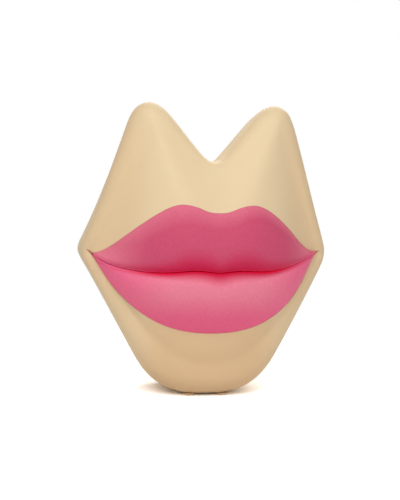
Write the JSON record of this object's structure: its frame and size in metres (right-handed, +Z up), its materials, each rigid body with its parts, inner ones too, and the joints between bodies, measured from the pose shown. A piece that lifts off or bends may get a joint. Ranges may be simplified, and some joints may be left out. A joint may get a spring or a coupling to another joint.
{
  "type": "novelty shaped telephone",
  "caption": "Upright one-piece push-button telephone shaped as a mouth: a chin-footed body with closed lips in front, and earpiece, keypad and microphone on its back.",
  "frame": {"origin": "on the table, under the middle of the body's box, where the feet rest", "axes": "+Z up, the lips face -Y, the keypad and earpiece face +Y, +X to the right seen from the front"},
  "size_m": [0.1786, 0.0882, 0.2065],
  "materials": {
    "skin": "matte",
    "lips": "matte",
    "cover": "fine texture",
    "carrier": "matte",
    "screws": "plated",
    "feet": "matte",
    "ear_cap": "satin",
    "gasket": "matte",
    "capsule": "satin",
    "magnet": "bare",
    "clamp": "zinc plated",
    "ringer_plastic": "matte",
    "ringer_brass": "satin",
    "bezel": "satin",
    "silicone": "matte",
    "board": "satin",
    "chip": "matte",
    "capacitor": "sleeved",
    "core": "lacquered",
    "winding": "taped",
    "chassis": "matte",
    "plunger": "satin",
    "hook_steel": "plated",
    "ballast": "bare",
    "jack": "satin",
    "contacts": "plated",
    "switch_body": "matte",
    "switch_knob": "satin",
    "keys": "satin"
  },
  "bodies": {
    "casing": {"ballast_weights": "ballast", "board_capacitors": "capacitor", "dial_mode_body": "switch_body", "dialler_chip": "chip", "earpiece_cap": "ear_cap", "front_shell": "skin", "hook_chassis": "chassis", "hook_chassis_screws": "screws", "hook_lever_pin": "hook_steel", "hook_spring": "hook_steel", "hook_switch": "chip", "keypad_bezel": "bezel", "keypad_board": "board", "keypad_board_screws": "screws", "keypad_mat": "silicone", "line_jack": "jack", "line_jack_contacts": "contacts", "lip_carrier": "carrier", "lip_carrier_screws": "screws", "lower_lip": "lips", "main_board": "board", "main_board_screws": "screws", "microphone_boot": "gasket", "microphone_capsule": "capsule", "rear_cover": "cover", "rear_cover_screws": "screws", "receiver_capsule": "capsule", "receiver_clamp": "clamp", "receiver_clamp_screws": "screws", "receiver_diaphragm": "capsule", "receiver_gasket": "gasket", "receiver_magnet": "magnet", "ringer_cup": "ringer_plastic", "ringer_disc": "ringer_brass", "ringer_switch_body": "switch_body", "rubber_feet": "feet", "transformer_bobbin": "winding", "transformer_core": "core", "upper_lip": "lips"},
    "key_1": {"key_1": "keys"},
    "key_2": {"key_2": "keys"},
    "key_3": {"key_3": "keys"},
    "key_4": {"key_4": "keys"},
    "key_5": {"key_5": "keys"},
    "key_6": {"key_6": "keys"},
    "key_7": {"key_7": "keys"},
    "key_8": {"key_8": "keys"},
    "key_9": {"key_9": "keys"},
    "key_star": {"key_star": "keys"},
    "key_0": {"key_0": "keys"},
    "key_hash": {"key_hash": "keys"},
    "hook_plunger": {"hook_plunger": "plunger"},
    "hook_lever": {"hook_lever": "hook_steel"},
    "ringer_switch_knob": {"ringer_switch_knob": "switch_knob"},
    "dial_mode_knob": {"dial_mode_knob": "switch_knob"}
  },
  "joints": [
    {"name": "key_1_press", "type": "slide", "parent": "casing", "child": "key_1", "axis": [0, -1, 0], "range_m": [0, 0.0015], "stiffness_N_per_m": 400, "springref_m": -0.001, "deforming": ["keypad_mat"]},
    {"name": "key_2_press", "type": "slide", "parent": "casing", "child": "key_2", "axis": [0, -1, 0], "range_m": [0, 0.0015], "stiffness_N_per_m": 400, "springref_m": -0.001, "deforming": ["keypad_mat"]},
    {"name": "key_3_press", "type": "slide", "parent": "casing", "child": "key_3", "axis": [0, -1, 0], "range_m": [0, 0.0015], "stiffness_N_per_m": 400, "springref_m": -0.001, "deforming": ["keypad_mat"]},
    {"name": "key_4_press", "type": "slide", "parent": "casing", "child": "key_4", "axis": [0, -1, 0], "range_m": [0, 0.0015], "stiffness_N_per_m": 400, "springref_m": -0.001, "deforming": ["keypad_mat"]},
    {"name": "key_5_press", "type": "slide", "parent": "casing", "child": "key_5", "axis": [0, -1, 0], "range_m": [0, 0.0015], "stiffness_N_per_m": 400, "springref_m": -0.001, "deforming": ["keypad_mat"]},
    {"name": "key_6_press", "type": "slide", "parent": "casing", "child": "key_6", "axis": [0, -1, 0], "range_m": [0, 0.0015], "stiffness_N_per_m": 400, "springref_m": -0.001, "deforming": ["keypad_mat"]},
    {"name": "key_7_press", "type": "slide", "parent": "casing", "child": "key_7", "axis": [0, -1, 0], "range_m": [0, 0.0015], "stiffness_N_per_m": 400, "springref_m": -0.001, "deforming": ["keypad_mat"]},
    {"name": "key_8_press", "type": "slide", "parent": "casing", "child": "key_8", "axis": [0, -1, 0], "range_m": [0, 0.0015], "stiffness_N_per_m": 400, "springref_m": -0.001, "deforming": ["keypad_mat"]},
    {"name": "key_9_press", "type": "slide", "parent": "casing", "child": "key_9", "axis": [0, -1, 0], "range_m": [0, 0.0015], "stiffness_N_per_m": 400, "springref_m": -0.001, "deforming": ["keypad_mat"]},
    {"name": "key_star_press", "type": "slide", "parent": "casing", "child": "key_star", "axis": [0, -1, 0], "range_m": [0, 0.0015], "stiffness_N_per_m": 400, "springref_m": -0.001, "deforming": ["keypad_mat"]},
    {"name": "key_0_press", "type": "slide", "parent": "casing", "child": "key_0", "axis": [0, -1, 0], "range_m": [0, 0.0015], "stiffness_N_per_m": 400, "springref_m": -0.001, "deforming": ["keypad_mat"]},
    {"name": "key_hash_press", "type": "slide", "parent": "casing", "child": "key_hash", "axis": [0, -1, 0], "range_m": [0, 0.0015], "stiffness_N_per_m": 400, "springref_m": -0.001, "deforming": ["keypad_mat"]},
    {"name": "hook_plunger_drop", "type": "slide", "parent": "casing", "child": "hook_plunger", "axis": [0, 0, -1], "range_m": [0, 0.004], "stiffness_N_per_m": 60, "springref_m": 0.012, "deforming": ["hook_spring"]},
    {"name": "hook_lever_turn", "type": "hinge", "parent": "casing", "child": "hook_lever", "pos_m": [0, 0.01, 0.0363], "axis": [-1, 0, 0], "range_deg": [0, 16]},
    {"name": "ringer_switch_slide", "type": "slide", "parent": "casing", "child": "ringer_switch_knob", "axis": [0, 0, 1], "range_m": [-0.003, 0.003]},
    {"name": "dial_mode_slide", "type": "slide", "parent": "casing", "child": "dial_mode_knob", "axis": [0, 0, 1], "range_m": [-0.003, 0.003]}
  ],
  "couplings": [
    {"joint": "hook_lever_turn", "follows": "hook_plunger_drop", "rad_per_m": 68}
  ]
}
